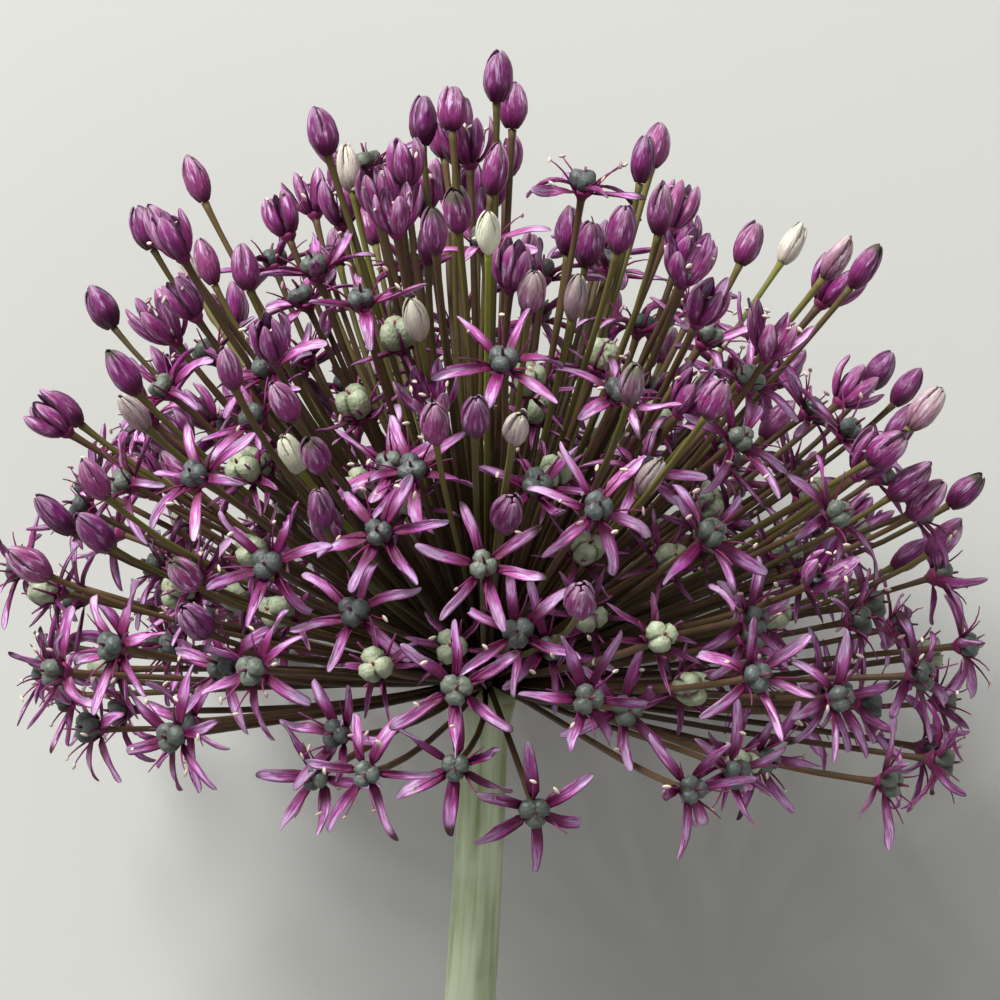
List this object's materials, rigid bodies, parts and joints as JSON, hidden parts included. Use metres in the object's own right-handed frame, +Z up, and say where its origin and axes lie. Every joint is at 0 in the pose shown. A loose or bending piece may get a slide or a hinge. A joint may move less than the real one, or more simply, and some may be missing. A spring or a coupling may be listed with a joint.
{
  "type": "allium flower head",
  "caption": "Cut ornamental onion flower lying on its side: a round head of starry florets and buds on thin stalks, with a length of its stem.",
  "frame": {"origin": "on the resting surface, under the middle of the lying flower", "axes": "+Z up from the surface, +Y along the lying flower from the cut end of the stem to the top of the head"},
  "size_m": [0.1185, 0.1746, 0.1154],
  "materials": {
    "tepal": "silky petals",
    "scape": "waxy stem"
  },
  "bodies": {
    "root": {"umbel": "tepal", "scape": "scape"}
  },
  "joints": []
}
